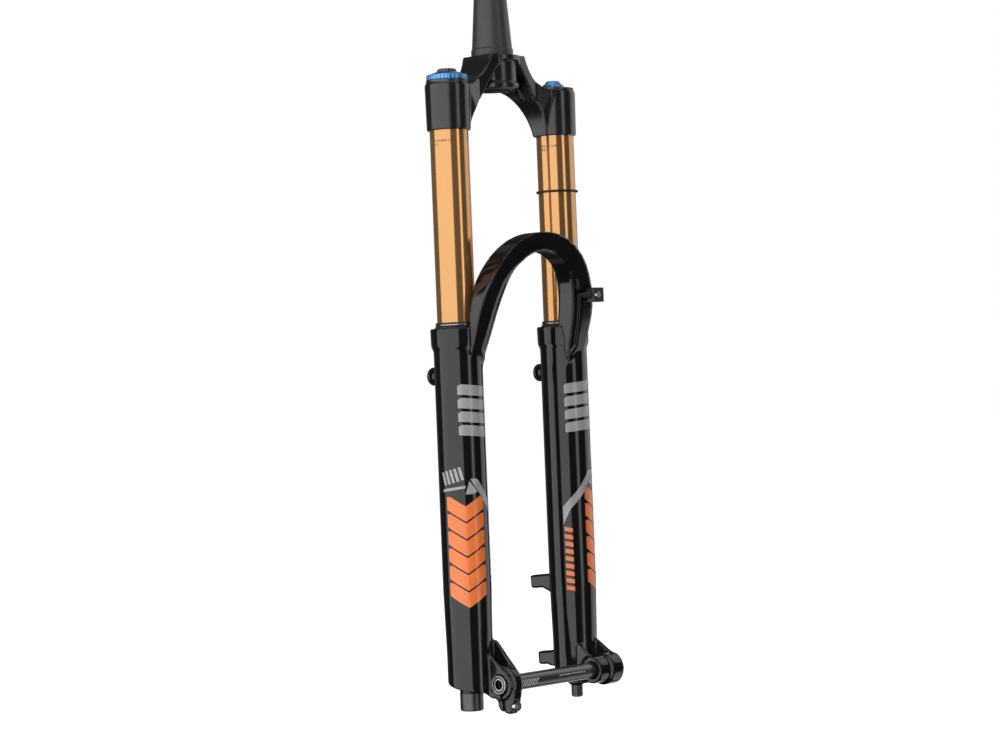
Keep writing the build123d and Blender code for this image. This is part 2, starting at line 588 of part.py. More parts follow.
IFP_LOW = -112
IFP_HIGH = -101
with BuildPart() as floating_piston:
    turned(RIGHT, [(VALVE_STEM_R + RUNNING, IFP_LOW), (12.6, IFP_LOW), (13.3, IFP_LOW + 1), (13.3, IFP_HIGH - 1),
                   (12.6, IFP_HIGH), (VALVE_STEM_R + RUNNING, IFP_HIGH)])
write(floating_piston, "floating_piston")

SPRING_WIRE_R = 0.9
SPRING_R = 9.5
SPRING_TOP = -56
SPRING_TURNS = 7
spring_height = SPRING_TOP - IFP_HIGH - 3 * SPRING_WIRE_R
with BuildPart() as floating_piston_spring:
    with BuildLine() as coil:
        Helix(spring_height / SPRING_TURNS, spring_height, SPRING_R,
              center=(*RIGHT, IFP_HIGH + 1.5 * SPRING_WIRE_R))
    with BuildSketch(Plane(coil.line @ 0, z_dir=coil.line % 0)):
        Circle(SPRING_WIRE_R)
    sweep(path=coil.line)
write(floating_piston_spring, "floating_piston_spring")

with BuildPart() as damper_seal_head:
    turned(RIGHT, [(SHAFT_R + RUNNING, SEAL_HEAD_TOP), (13.35, SEAL_HEAD_TOP), (13.35, -386.2),
                   (CARTRIDGE_R, -386.2), (CARTRIDGE_R, -392), (13, -394), (SHAFT_R + RUNNING, -394)])
write(damper_seal_head, "damper_seal_head")

with BuildPart() as damper_shaft:
    rod(RIGHT, LEG_FLOOR + 0.1, PISTON_HIGH + 1, SHAFT_R)
    rod(RIGHT, LEG_FLOOR + 0.1, LEG_FLOOR + 4, 9.0)
    rod(RIGHT, -600.4, LEG_FLOOR + 0.1, 4.0)
    rod(RIGHT, PISTON_HIGH + 0.05, PISTON_HIGH + 5, 7.5, SHAFT_R - 1)
    rod(RIGHT, -601, PISTON_HIGH + 6, 2.5, mode=Mode.SUBTRACT)
write(damper_shaft, "damper_shaft")

with BuildPart() as damper_piston:
    turned(RIGHT, [(SHAFT_R + 0.02, PISTON_LOW), (12.4, PISTON_LOW), (12.9, PISTON_LOW + 1),
                   (12.9, PISTON_LOW + 3), (12.2, PISTON_LOW + 3), (12.2, PISTON_HIGH - 3),
                   (12.9, PISTON_HIGH - 3), (12.9, PISTON_HIGH - 1), (12.4, PISTON_HIGH),
                   (SHAFT_R + 0.02, PISTON_HIGH)])
    for spot in PolarLocations(9, 8).locations:
        place = (RIGHT[0] + spot.position.X, RIGHT[1] + spot.position.Y)
        rod(place, PISTON_LOW - 1, PISTON_HIGH + 1, 1.3, mode=Mode.SUBTRACT)
write(damper_piston, "damper_piston")

with BuildPart() as damper_piston_band:
    rod(RIGHT, PISTON_LOW + 3.2, PISTON_HIGH - 3.2, CARTRIDGE_BORE_R - RUNNING, 12.25)
write(damper_piston_band, "damper_piston_band")

with BuildPart() as damper_foot_nut:
    with BuildSketch(Plane((*RIGHT, -600.6))) as flats:
        RegularPolygon(7.4, 6, major_radius=False)
        Circle(4.05, mode=Mode.SUBTRACT)
    extrude(flats.sketch, amount=3)
write(damper_foot_nut, "damper_foot_nut")

with BuildPart() as hsr_adjuster:
    turned(RIGHT, [(2.9, -603), (8.2, -603), (8.8, -602.4), (8.8, -601), (2.9, -601)])
    for spot in PolarLocations(9.2, 12).locations:
        place = (RIGHT[0] + spot.position.X, RIGHT[1] + spot.position.Y)
        rod(place, -604, -600, 1.1, mode=Mode.SUBTRACT)
write(hsr_adjuster, "hsr_adjuster")

with BuildPart() as lsr_knob:
    turned(RIGHT, [(0, -607), (5.4, -607), (6.0, -606.4), (6.0, -603.4), (2.4, -603.4), (2.4, -500), (2.2, -498),
                   (2.2, PISTON_HIGH), (0, PISTON_HIGH + 3)])
    hex_socket(Plane((*RIGHT, -607), x_dir=(1, 0, 0), z_dir=(0, 0, -1)), 2, 2.5)
write(lsr_knob, "lsr_knob")

with BuildPart() as rebound_cover:
    turned(RIGHT, [(0, -609.4), (COVER_R - 1, -609.4), (COVER_R, -608.4), (COVER_R, COVER_TOP),
                   (COVER_R - 1, COVER_TOP), (COVER_R - 1, -607.6), (0, -607.6)])
    rod(RIGHT, -610, -607, 2.0, mode=Mode.SUBTRACT)
write(rebound_cover, "rebound_cover")

# ---------------------------------------------------------------- bleed buttons
for side, y in LEG_Y.items():
    with BuildPart() as bleed_button:
        face = CROWN_OFFSET + BLEED_FACE
        with BuildSketch(Plane((0, y, BLEED_Z), x_dir=(1, 0, 0), z_dir=(0, -1, 0))) as half:
            with BuildLine():
                Polyline((face - 6.2, 0), (face - 6.2, 5.4), (face - 5.8, 7.2), (face - 5.2, 8.1), (face - 4.4, 8.5),
                         (face - 1.9, 8.5), (face - 1.9, 2.95), (face + 5, 2.95), (face + 5, 0), close=True)
            make_face()
        revolve(half.sketch, axis=Axis((0, y, BLEED_Z), (1, 0, 0)))
    write(bleed_button, f"bleed_button_{side}")

# ---------------------------------------------------------------- hose guide on the arch
HOSE_AT = (58.5, 69.6)
with BuildPart() as hose_guide:
    with BuildSketch(Plane((58.0, 66.8, HOSE_Z - 6.7))) as block:
        RectangleRounded(11, 14, 1.2)
    extrude(block.sketch, amount=13.5)
    with BuildSketch(Plane((52.3, 50.3, HOSE_Z), z_dir=(6.5, 12, 0))) as tip:
        Circle(1.8)
    with BuildSketch(Plane((57.0, 60.8, HOSE_Z), z_dir=(6.5, 12, 0))) as root:
        Circle(4.0)
    loft([tip.sketch.face(), root.sketch.face()])
    rod(HOSE_AT, HOSE_Z - 8, HOSE_Z + 8, 2.75, mode=Mode.SUBTRACT)
    long_rod(HOSE_SCREW_Y, HOSE_Z, 50, 65, 1.75, mode=Mode.SUBTRACT)
write(hose_guide, "hose_guide")

with BuildPart() as hose_guide_screw:
    long_rod(HOSE_SCREW_Y, HOSE_Z, 44, 63.8, 1.55)
    long_rod(HOSE_SCREW_Y, HOSE_Z, 63.6, 65.6, 3.0)
    hex_socket(Plane((65.6, HOSE_SCREW_Y, HOSE_Z), x_dir=(0, 1, 0), z_dir=(1, 0, 0)), 1.4, 2.5)
write(hose_guide_screw, "hose_guide_screw")

# ---------------------------------------------------------------- axle, its sleeve nut and the pinch bolt
with BuildPart() as axle:
    cross_rod(RAKE, AXLE_Z, -66, 78.5, AXLE_R)
    cross_rod(RAKE, AXLE_Z, 77.2, 85.2, 10.0)
    chamfer(axle.edges().filter_by(GeomType.CIRCLE).sort_by(Axis.Y)[-1], 0.8)
    hex_socket(Plane((RAKE, 85.2, AXLE_Z), x_dir=(1, 0, 0), z_dir=(0, 1, 0)), 9, 6)
    cross_rod(RAKE, AXLE_Z, -67, 60, 4.0, mode=Mode.SUBTRACT)
write(axle, "axle")

with BuildPart() as axle_sleeve_nut:
    cross_rod(RAKE, AXLE_Z, -70, -HUB_WIDTH / 2 - 0.1, SLEEVE_R)
    chamfer(axle_sleeve_nut.edges().filter_by(GeomType.CIRCLE).sort_by(Axis.Y)[0], 0.8)
    cross_rod(RAKE, AXLE_Z, -66.5, -54, AXLE_R + RUNNING, mode=Mode.SUBTRACT)
    hex_socket(Plane((RAKE, -70, AXLE_Z), x_dir=(1, 0, 0), z_dir=(0, -1, 0)), 5, 8)
write(axle_sleeve_nut, "axle_sleeve_nut")

with BuildPart() as pinch_bolt:
    long_rod(PINCH_Y, PINCH_Z, RAKE - 8, RAKE + 11, 2.5)
    long_rod(PINCH_Y, PINCH_Z, RAKE + 10.6, RAKE + 15.2, 4.4)
    hex_socket(Plane((RAKE + 15.2, PINCH_Y, PINCH_Z), x_dir=(0, 1, 0), z_dir=(1, 0, 0)), 2.5, 4)
write(pinch_bolt, "pinch_bolt")
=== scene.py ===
"""Looks of the suspension fork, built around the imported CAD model.

Frame: metres, +X forwards, +Y to the rider's left, +Z up along the steerer.
The origin is the crown race seat.
"""

import json
import math

import bmesh
import bpy
from mathutils import Matrix, Vector


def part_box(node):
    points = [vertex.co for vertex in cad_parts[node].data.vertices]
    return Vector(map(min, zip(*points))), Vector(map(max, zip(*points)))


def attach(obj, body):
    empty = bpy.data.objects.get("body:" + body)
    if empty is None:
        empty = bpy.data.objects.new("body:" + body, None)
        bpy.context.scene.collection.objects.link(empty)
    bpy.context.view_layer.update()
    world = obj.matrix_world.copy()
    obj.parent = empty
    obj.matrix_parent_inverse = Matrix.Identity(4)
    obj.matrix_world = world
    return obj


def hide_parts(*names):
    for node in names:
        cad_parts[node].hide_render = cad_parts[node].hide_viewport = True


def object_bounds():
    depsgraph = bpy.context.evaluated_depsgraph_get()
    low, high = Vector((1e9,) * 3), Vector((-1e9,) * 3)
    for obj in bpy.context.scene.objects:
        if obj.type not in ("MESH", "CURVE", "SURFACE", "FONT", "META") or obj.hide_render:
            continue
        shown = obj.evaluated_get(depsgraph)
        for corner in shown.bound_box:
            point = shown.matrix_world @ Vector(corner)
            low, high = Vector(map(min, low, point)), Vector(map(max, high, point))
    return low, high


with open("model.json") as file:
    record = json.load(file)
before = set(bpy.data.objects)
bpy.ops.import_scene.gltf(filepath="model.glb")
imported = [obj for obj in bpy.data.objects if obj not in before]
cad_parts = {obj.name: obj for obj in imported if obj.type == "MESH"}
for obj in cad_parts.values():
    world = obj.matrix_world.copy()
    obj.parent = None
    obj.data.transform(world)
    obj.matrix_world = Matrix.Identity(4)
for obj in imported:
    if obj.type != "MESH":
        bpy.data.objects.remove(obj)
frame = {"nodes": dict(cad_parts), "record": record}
cad_low, cad_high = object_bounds()
NODES = frame["nodes"]
MM = 0.001


# ---------------------------------------------------------------- places read from the frame
def middle(node):
    """Centre of a CAD node's box."""
    low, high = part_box(node)
    return (low + high) / 2


def axis_of(node):
    """(x, y) of the upright axis that a round CAD node stands on."""
    centre = middle(node)
    return centre.x, centre.y


def radius_of(node):
    """Radius of an upright round CAD node."""
    low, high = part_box(node)
    return (high.y - low.y) / 2


LEGS = {side: axis_of(f"stanchion_{side}") for side in ("right", "left")}
OUTWARD = {"right": -1, "left": 1}
TUBE_R = radius_of("stanchion_right")
LEG_R = 22.5 * MM                       # outside of the parallel part of a lower leg
TAPER_FROM = -500 * MM                  # below this height a leg narrows
TAPER_TO = -560 * MM
LEG_FOOT_R = 21.3 * MM


# ---------------------------------------------------------------- material building blocks
# sockets of a Mix node that mixes colours, which share their names with its other kinds
MIX_FIRST = 6
MIX_SECOND = 7
MIX_RESULT = 2


class Recipe:
    """A Principled material with its nodes, built up by small named steps."""

    def __init__(self, name, colour, rough, metal=0.0, specular=0.5):
        self.material = bpy.data.materials.new(name)
        self.material.use_nodes = True
        self.tree = self.material.node_tree
        self.shader = self.tree.nodes["Principled BSDF"]
        self.colour = (*colour, 1.0)
        self.rough = rough
        self.set("Base Color", self.colour)
        self.set("Roughness", rough)
        self.set("Metallic", metal)
        self.set("Specular IOR Level", specular)
        self.normal = None

    def set(self, socket, value):
        self.shader.inputs[socket].default_value = value

    def node(self, kind, **inputs):
        made = self.tree.nodes.new(kind)
        for key, value in inputs.items():
            made.inputs[key.replace("_", " ")].default_value = value
        return made

    def link(self, source, target):
        self.tree.links.new(source, target)

    def place(self, stretch=(1, 1, 1)):
        """Object coordinates, stretched."""
        coordinates = self.node("ShaderNodeTexCoord")
        mapping = self.node("ShaderNodeMapping")
        mapping.inputs["Scale"].default_value = stretch
        self.link(coordinates.outputs["Object"], mapping.inputs["Vector"])
        return mapping.outputs["Vector"]

    def noise(self, size, detail=3.0, stretch=(1, 1, 1)):
        """Noise whose blotches are about size metres across."""
        made = self.node("ShaderNodeTexNoise", Scale=1.0 / size, Detail=detail, Roughness=0.55)
        self.link(self.place(stretch), made.inputs["Vector"])
        return made.outputs["Fac"]

    def remap(self, source, low, high, from_low=0.3, from_high=0.7):
        made = self.node("ShaderNodeMapRange")
        made.inputs["From Min"].default_value = from_low
        made.inputs["From Max"].default_value = from_high
        made.inputs["To Min"].default_value = low
        made.inputs["To Max"].default_value = high
        self.link(source, made.inputs["Value"])
        return made.outputs["Result"]

    def vary_rough(self, size, spread, stretch=(1, 1, 1)):
        """Roughness that wanders by spread either side of its base value."""
        wander = self.remap(self.noise(size, stretch=stretch), self.rough - spread, self.rough + spread)
        self.link(wander, self.shader.inputs["Roughness"])

    def vary_colour(self, size, other, amount=1.0, stretch=(1, 1, 1), detail=4.0):
        """Base colour that drifts towards another colour in blotches."""
        mix = self.node("ShaderNodeMix")
        mix.data_type = "RGBA"
        mix.inputs[MIX_FIRST].default_value = self.colour
        mix.inputs[MIX_SECOND].default_value = (*other, 1.0)
        self.link(self.remap(self.noise(size, detail, stretch), 0.0, amount), mix.inputs["Factor"])
        self.link(mix.outputs[MIX_RESULT], self.shader.inputs["Base Color"])

    def bevel(self, radius):
        """Edges that look rounded to a small radius."""
        made = self.node("ShaderNodeBevel", Radius=radius)
        made.samples = 6
        self.normal = made.outputs["Normal"]
        self.link(self.normal, self.shader.inputs["Normal"])

    def bump(self, source, height, strength=0.3):
        made = self.node("ShaderNodeBump", Strength=strength, Distance=height)
        self.link(source, made.inputs["Height"])
        if self.normal:
            self.link(self.normal, made.inputs["Normal"])
        self.normal = made.outputs["Normal"]
        self.link(self.normal, self.shader.inputs["Normal"])

    def wear(self, colour, radius, amount):
        """Edges rubbed towards a lighter colour, broken up by noise."""
        bevel = self.node("ShaderNodeBevel", Radius=radius)
        bevel.samples = 4
        geometry = self.node("ShaderNodeNewGeometry")
        dot = self.node("ShaderNodeVectorMath")
        dot.operation = "DOT_PRODUCT"
        self.link(bevel.outputs["Normal"], dot.inputs[0])
        self.link(geometry.outputs["Normal"], dot.inputs[1])
        edge = self.remap(dot.outputs["Value"], amount, 0.0, 0.75, 0.97)
        broken = self.node("ShaderNodeMath")
        broken.operation = "MULTIPLY"
        self.link(edge, broken.inputs[0])
        self.link(self.remap(self.noise(2.5 * MM), 0.0, 1.0, 0.4, 0.65), broken.inputs[1])
        mix = self.node("ShaderNodeMix")
        mix.data_type = "RGBA"
        before = self.shader.inputs["Base Color"]
        if before.links:
            self.link(before.links[0].from_socket, mix.inputs[MIX_FIRST])
        else:
            mix.inputs[MIX_FIRST].default_value = self.colour
        mix.inputs[MIX_SECOND].default_value = (*colour, 1.0)
        self.link(broken.outputs["Value"], mix.inputs["Factor"])
        self.link(mix.outputs[MIX_RESULT], before)


# ---------------------------------------------------------------- the materials, one function each
def gloss_black():
    """Gloss black paint over a casting, with a faint orange-peel."""
    made = Recipe("gloss_black", (0.006, 0.006, 0.0065), 0.085, specular=0.5)
    made.vary_colour(30 * MM, (0.010, 0.010, 0.011))
    made.vary_rough(12 * MM, 0.02)
    made.bump(made.noise(1.4 * MM, 2.0), 0.012 * MM, 0.1)
    made.wear((0.035, 0.035, 0.037), 0.8 * MM, 0.5)
    return made.material


def crown_black():
    """Satin black anodising on the forged crown."""
    made = Recipe("crown_black", (0.012, 0.012, 0.013), 0.20, specular=0.62)
    made.vary_rough(8 * MM, 0.03)
    made.bump(made.noise(0.5 * MM, 2.0), 0.01 * MM, 0.15)
    made.wear((0.12, 0.12, 0.125), 0.7 * MM, 0.6)
    return made.material


def steerer_black():
    """Bead-blasted and anodised tube, finer along its length."""
    made = Recipe("steerer_black", (0.032, 0.032, 0.033), 0.40, specular=0.5)
    made.vary_colour(18 * MM, (0.040, 0.040, 0.042), stretch=(1, 1, 0.4))
    made.vary_rough(6 * MM, 0.05)
    made.bump(made.noise(0.35 * MM, 2.0), 0.015 * MM, 0.25)
    return made.material


def gold():
    """Hard polished gold-bronze coating with fine lines round the tube."""
    made = Recipe("gold", (0.61, 0.32, 0.128), 0.11, metal=0.72)
    made.vary_colour(60 * MM, (0.56, 0.29, 0.11), stretch=(1, 1, 0.3))
    made.vary_rough(5 * MM, 0.025, stretch=(0.3, 0.3, 6))
    made.bump(made.noise(0.8 * MM, 2.0, (0.05, 0.05, 3)), 0.004 * MM, 0.08)
    return made.material


def anodised(name, colour, rough=0.28):
    """Anodised aluminium with fine turning lines."""
    made = Recipe(name, colour, rough, metal=0.85)
    made.vary_colour(5 * MM, tuple(0.82 * c for c in colour))
    made.vary_rough(1.5 * MM, 0.05, stretch=(1, 1, 4))
    made.bevel(0.4 * MM)
    made.bump(made.noise(0.3 * MM, 2.0, (1, 1, 5)), 0.01 * MM, 0.2)
    made.wear(tuple(min(1.0, 0.25 + c) for c in colour), 0.4 * MM, 0.5)
    return made.material


def bare_metal(name, colour, rough, lines=(1, 1, 5)):
    """Turned or brushed bare metal."""
    made = Recipe(name, colour, rough, metal=1.0)
    made.vary_colour(4 * MM, tuple(0.86 * c for c in colour))
    made.vary_rough(1.2 * MM, 0.06, stretch=lines)
    made.bevel(0.35 * MM)
    made.bump(made.noise(0.3 * MM, 2.0, lines), 0.012 * MM, 0.25)
    return made.material


def rubber():
    made = Recipe("rubber", (0.014, 0.014, 0.014), 0.58, specular=0.4)
    made.vary_colour(3 * MM, (0.024, 0.024, 0.023))
    made.vary_rough(2 * MM, 0.07)
    made.bump(made.noise(0.25 * MM, 3.0), 0.03 * MM, 0.3)
    return made.material


def plastic(name, colour, rough=0.42):
    made = Recipe(name, colour, rough, specular=0.45)
    made.vary_colour(6 * MM, tuple(1.25 * c for c in colour))
    made.vary_rough(1.5 * MM, 0.05)
    made.bevel(0.4 * MM)
    made.bump(made.noise(0.3 * MM, 3.0), 0.02 * MM, 0.3)
    return made.material


def foam():
    made = Recipe("foam", (0.25, 0.22, 0.18), 0.9, specular=0.2)
    made.vary_colour(1.2 * MM, (0.13, 0.11, 0.09))
    made.bump(made.noise(0.5 * MM, 4.0), 0.2 * MM, 0.8)
    return made.material


def printed(name, colour, rough=0.2):
    """Printed film under gloss lacquer, with slight unevenness in the ink."""
    made = Recipe(name, colour, rough, specular=0.5)
    made.vary_colour(9 * MM, tuple(0.9 * c for c in colour))
    made.vary_rough(3 * MM, 0.03)
    made.bump(made.noise(1.6 * MM, 2.0), 0.02 * MM, 0.1)
    return made.material


MATERIALS = {
    "gloss_black": gloss_black(),
    "crown_black": crown_black(),
    "steerer_black": steerer_black(),
    "gold": gold(),
    "blue_anodised": anodised("blue_anodised", (0.10, 0.36, 0.70)),
    "red_anodised": anodised("red_anodised", (0.5, 0.05, 0.04)),
    "black_anodised": anodised("black_anodised", (0.10, 0.10, 0.104), 0.34),
    "axle_grey": anodised("axle_grey", (0.15, 0.15, 0.155), 0.24),
    "bare_aluminium": bare_metal("bare_aluminium", (0.72, 0.72, 0.73), 0.28),
    "dark_steel": bare_metal("dark_steel", (0.075, 0.075, 0.078), 0.30),
    "steel": bare_metal("steel", (0.62, 0.61, 0.60), 0.22),
    "brass": bare_metal("brass", (0.72, 0.52, 0.24), 0.26),
    "rubber": rubber(),
    "black_plastic": plastic("black_plastic", (0.016, 0.016, 0.017), 0.33),
    "bearing_plastic": plastic("bearing_plastic", (0.30, 0.28, 0.23)),
    "spacer_plastic": plastic("spacer_plastic", (0.70, 0.34, 0.06)),
    "foam": foam(),
    "print_grey": printed("print_grey", (0.40, 0.40, 0.41)),
    "print_orange": printed("print_orange", (1.0, 0.235, 0.055)),
    "print_dark": printed("print_dark", (0.05, 0.035, 0.02), 0.35),
    "print_pale": printed("print_pale", (0.72, 0.72, 0.73), 0.35),
}

FINER = {"crown": "crown_black", "axle_sleeve_nut": "dark_steel"}

for row in frame["record"]["subparts"]:
    node = NODES[row["node"]]
    chosen = FINER.get(row["node"], row["material_slot"])
    node.data.materials.clear()
    node.data.materials.append(MATERIALS[chosen])


# ---------------------------------------------------------------- piece helpers
def piece(name, bm, body, material):
    """Turns a bmesh into a named piece that rides on a CAD body."""
    bmesh.ops.recalc_face_normals(bm, faces=bm.faces)
    mesh = bpy.data.meshes.new(name)
    bm.to_mesh(mesh)
    bm.free()
    made = bpy.data.objects.new(name, mesh)
    bpy.context.scene.collection.objects.link(made)
    made.data.materials.append(MATERIALS[material])
    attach(made, body)
    return made


def shade_smooth(made, angle=35):
    """Smooth shading, with edges sharper than the angle left crisp."""
    for polygon in made.data.polygons:
        polygon.use_smooth = True
    limit = math.radians(angle)
    bm = bmesh.new()
    bm.from_mesh(made.data)
    for edge in bm.edges:
        edge.smooth = len(edge.link_faces) == 2 and edge.calc_face_angle(0.0) < limit
    bm.to_mesh(made.data)
    bm.free()


def softened(node, voxel, rounds, material):
    """A finely remeshed and smoothed copy of a CAD casting, with rounded edges and corners."""
    source = NODES[node]
    bm = bmesh.new()
    bm.from_mesh(source.data)
    bmesh.ops.remove_doubles(bm, verts=bm.verts, dist=0.001 * MM)
    mesh = bpy.data.meshes.new(f"{node}_soft")
    bm.to_mesh(mesh)
    bm.free()
    made = bpy.data.objects.new(f"{node}_soft", mesh)
    bpy.context.scene.collection.objects.link(made)
    remesh = made.modifiers.new("remesh", "REMESH")
    remesh.mode = "VOXEL"
    remesh.voxel_size = voxel
    remesh.use_smooth_shade = True
    smooth = made.modifiers.new("smooth", "SMOOTH")
    smooth.factor = 0.5
    smooth.iterations = rounds
    graph = bpy.context.evaluated_depsgraph_get()
    finished = bpy.data.meshes.new_from_object(made.evaluated_get(graph))
    made.modifiers.clear()
    made.data = finished
    bpy.data.meshes.remove(mesh)
    made.data.materials.clear()
    made.data.materials.append(MATERIALS[material])
    body = next(name for name, nodes in frame["record"]["behaviour"]["bodies"].items() if node in nodes)
    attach(made, body)
    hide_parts(node)
    return made


softened("lower_casting", voxel=0.9 * MM, rounds=12, material="gloss_black")
softened("crown", voxel=0.7 * MM, rounds=14, material="crown_black")


def leg_radius(z):
    """Outside radius of a lower leg at a height."""
    if z > TAPER_FROM:
        return LEG_R
    share = min(1.0, (TAPER_FROM - z) / (TAPER_FROM - TAPER_TO))
    return LEG_R + share * (LEG_FOOT_R - LEG_R)


def turned(bm, profile, centre, axis, lobes=0, depth=0.0, steps=96):
    """Adds a solid turned from a closed (radius, height) profile in mm, with lobes round it if asked."""
    tilt = Vector((0, 0, 1)).rotation_difference(Vector(axis))
    rings = []
    for step in range(steps):
        turn = math.tau * step / steps
        swell = 1.0 + depth * math.cos(lobes * turn)
        ring = []
        for r, h in profile:
            spot = Vector((r * swell * math.cos(turn), r * swell * math.sin(turn), h)) * MM
            ring.append(bm.verts.new(Vector(centre) + tilt @ spot))
        rings.append(ring)
    for here, there in zip(rings, rings[1:] + rings[:1]):
        for a, b, c, d in zip(here, there, there[1:] + there[:1], here[1:] + here[:1]):
            bm.faces.new((a, b, c, d))
    bmesh.ops.remove_doubles(bm, verts=bm.verts, dist=0.001 * MM)


STRIP = math.radians(4)                 # decals are cut this fine to follow a round leg
FILM = 0.09 * MM                        # half the thickness of a printed film
ETCHED = 0.02 * MM                      # the same for marks on the tubes, which pass under the seals


def wrap(bm, outlines, radius_at, centre, outward, film=FILM):
    """Adds flat (degrees outward from the front, mm height) outlines, wrapped round an upright axis."""
    for outline in outlines:
        flat = bmesh.new()
        corners = [flat.verts.new((math.radians(turn), z * MM, 0)) for turn, z in outline]
        flat.faces.new(corners)
        low = min(v.co.x for v in corners)
        high = max(v.co.x for v in corners)
        cut = math.ceil(low / STRIP) * STRIP
        while cut < high:
            whole = list(flat.verts) + list(flat.edges) + list(flat.faces)
            bmesh.ops.bisect_plane(flat, geom=whole, plane_co=(cut, 0, 0), plane_no=(1, 0, 0))
            cut += STRIP
        for level in (TAPER_FROM, TAPER_TO):
            whole = list(flat.verts) + list(flat.edges) + list(flat.faces)
            bmesh.ops.bisect_plane(flat, geom=whole, plane_co=(0, level, 0), plane_no=(0, 1, 0))
        inner, outer = {}, {}
        for v in flat.verts:
            turn, z = v.co.x, v.co.y
            for shell, lift in ((inner, -film), (outer, film)):
                r = radius_at(z) + lift
                x = centre[0] + r * math.cos(turn)
                y = centre[1] + outward * r * math.sin(turn)
                shell[v] = bm.verts.new((x, y, z))
        for face in flat.faces:
            bm.faces.new([outer[v] for v in face.verts])
            bm.faces.new([inner[v] for v in reversed(face.verts)])
        for edge in flat.edges:
            if len(edge.link_faces) == 1:
                a, b = edge.verts
                bm.faces.new([outer[a], outer[b], inner[b], inner[a]])
        flat.free()


def slab(low, high, top, bottom):
    """A four-cornered outline between two turns and two heights."""
    return [(low, top), (high, top), (high, bottom), (low, bottom)]


# ---------------------------------------------------------------- printed graphics on the lower legs
SLATS = 4
SLAT_TOP = -311
SLAT_STEP = 12.4
grey_slats = []
for step in range(SLATS):
    top = SLAT_TOP - SLAT_STEP * step
    grey_slats.append([(-50, top - 2.5), (-44, top - 0.5), (42, top + 3), (50, top + 1), (50, top - 6.5),
                       (-50, top - 10)])

grey_sweeps = [
    [(-64, -429), (-20, -411), (10, -395), (28, -395), (-10, -417), (-46, -432), (-64, -446)],
    [(30, -397), (40, -409), (22, -409), (10, -407)],
]

BADGE_BARS = 5
BADGE_TURN = 42
BADGE_TOP = -384
badge_bars = []
for step in range(BADGE_BARS):
    turn = BADGE_TURN + 11 * step
    top = BADGE_TOP - 1.1 * step
    badge_bars.append([(turn, top - 12), (turn + 8, top), (turn + 15, top), (turn + 7, top - 12)])
badge_bars.append([(40, -401), (98, -404), (98, -406.5), (40, -403.5)])

CHEVRONS = 6
CHEVRON_TOP = -411
CHEVRON_STEP = 15.8
orange_chevrons = []
for step in range(CHEVRONS):
    top = CHEVRON_TOP - CHEVRON_STEP * step
    orange_chevrons.append([(-6, top), (4, top), (41, top - 9), (78, top), (88, top), (88, top - 11.6),
                            (41, top - 23), (-6, top - 11.6)])

RUNGS = 9
RUNG_TOP = -448
RUNG_STEP = 7.0
orange_rungs = []
for step in range(RUNGS):
    top = RUNG_TOP - step * RUNG_STEP
    orange_rungs.append([(-62, top), (-42, top - 1.6), (-42, top - 5.6), (-62, top - 4.0)])


def leg_graphics():
    """The same generic shapes on both legs, mirrored."""
    for side in LEGS:
        for name, outlines, material in (
            ("grey_slats", grey_slats, "print_grey"),
            ("grey_sweep", grey_sweeps, "print_grey"),
            ("badge_bars", badge_bars, "print_grey"),
            ("orange_chevrons", orange_chevrons, "print_orange"),
            ("orange_rungs", orange_rungs, "print_orange"),
        ):
            bm = bmesh.new()
            wrap(bm, outlines, leg_radius, LEGS[side], OUTWARD[side])
            made = piece(f"{name}_{side}", bm, "lowers", material)
            shade_smooth(made, 30)


leg_graphics()


# ---------------------------------------------------------------- small marks on the stanchions
MARK_TOP = -83
DASH_ROWS = (11, 4)                     # dashes in the upper and lower row
DASH_PITCH = 6.2                        # degrees round the tube
DASH_ROW_STEP = 3.4
SAG_MARKS = 7
SAG_LOW = -230
SAG_STEP = 8.5
SAG_TURN = 166


DASHES_FROM = {"right": 97, "left": -98}    # degrees outward from the front


def stanchion_marks():
    """Two rows of short dashes near the top of each tube, and ticks down the back of the left one."""
    for side, first in DASHES_FROM.items():
        dashes = []
        for line, count in enumerate(DASH_ROWS):
            for number in range(count):
                # both rows begin at the left of each tube as the main view sees it
                start = first + OUTWARD[side] * number * DASH_PITCH
                z = MARK_TOP - line * DASH_ROW_STEP
                dashes.append(slab(start, start + 4.2, z, z - 1.7))
        bm = bmesh.new()
        wrap(bm, dashes, lambda z: TUBE_R, LEGS[side], OUTWARD[side], ETCHED)
        piece(f"stanchion_dashes_{side}", bm, "upper", "print_dark")
    ticks = []
    for number in range(SAG_MARKS):
        z = SAG_LOW + number * SAG_STEP
        reach = 16 if number % 2 else 26
        ticks.append(slab(SAG_TURN, SAG_TURN + reach, z, z - 0.7))
    bm = bmesh.new()
    wrap(bm, ticks, lambda z: TUBE_R, LEGS["left"], OUTWARD["left"], ETCHED)
    piece("sag_scale_left", bm, "upper", "print_dark")


stanchion_marks()


# ---------------------------------------------------------------- axle marks, rings and the valve cap
AXLE_R = 7.5 * MM
AXLE_HATCH = 7
HATCH_FROM = -50                        # mm along the axle, to the rider's left
HATCH_STEP = 3.4
AXLE_TICKS = 15
TICK_FROM = 4
TICK_STEP = 2.4
THREADS = 8
THREAD_TOP = -603.2
THREAD_PITCH = 1.1


